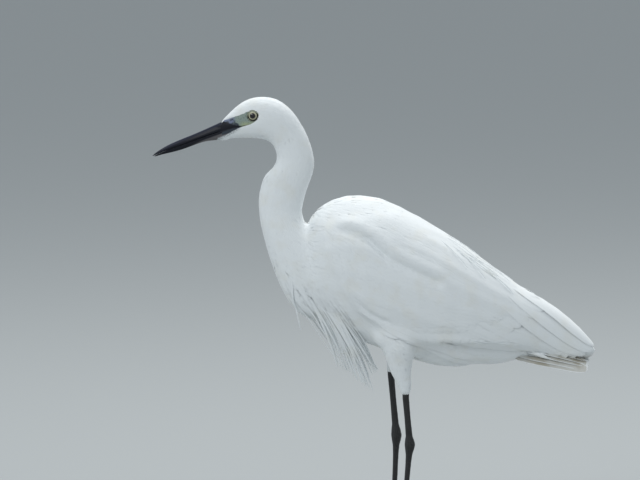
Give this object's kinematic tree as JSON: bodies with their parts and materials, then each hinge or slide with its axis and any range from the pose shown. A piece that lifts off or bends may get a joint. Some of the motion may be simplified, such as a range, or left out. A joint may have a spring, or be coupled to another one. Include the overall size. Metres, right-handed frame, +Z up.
{
  "type": "little egret",
  "caption": "Life-size still model of a little egret standing as it wades, neck in an S, bill a little down and wings folded.",
  "frame": {"origin": "on the floor, below the middle of the model's length and width", "axes": "-X the way the bill points, +X to the tail, -Y the bird's left side, +Z up"},
  "size_m": [0.4446, 0.1072, 0.4504],
  "materials": {
    "plumage": "matte white feathers",
    "bill": "satin black horn",
    "eye": "wet gloss",
    "leg": "satin black scales",
    "foot": "satin yellow scales",
    "claw": "satin black horn"
  },
  "bodies": {
    "root": {"bill_lower": "bill", "bill_upper": "bill", "breast": "plumage", "breast_plumes": "plumage", "claw_hind_left": "claw", "claw_hind_right": "claw", "claw_inner_left": "claw", "claw_inner_right": "claw", "claw_middle_left": "claw", "claw_middle_right": "claw", "claw_outer_left": "claw", "claw_outer_right": "claw", "eye_left": "eye", "eye_right": "eye", "foot_left": "foot", "foot_right": "foot", "head": "plumage", "neck_lower": "plumage", "neck_middle": "plumage", "neck_upper": "plumage", "shank_left": "leg", "shank_right": "leg", "tail": "plumage", "tarsus_left": "leg", "tarsus_right": "leg", "thigh_left": "plumage", "thigh_right": "plumage", "toe_hind_left": "foot", "toe_hind_right": "foot", "toe_inner_left": "foot", "toe_inner_right": "foot", "toe_middle_left": "foot", "toe_middle_right": "foot", "toe_outer_left": "foot", "toe_outer_right": "foot", "trunk": "plumage", "wing_arm_left": "plumage", "wing_arm_right": "plumage", "wing_flight_left": "plumage", "wing_flight_right": "plumage", "wing_tip_left": "plumage", "wing_tip_right": "plumage"}
  },
  "joints": []
}
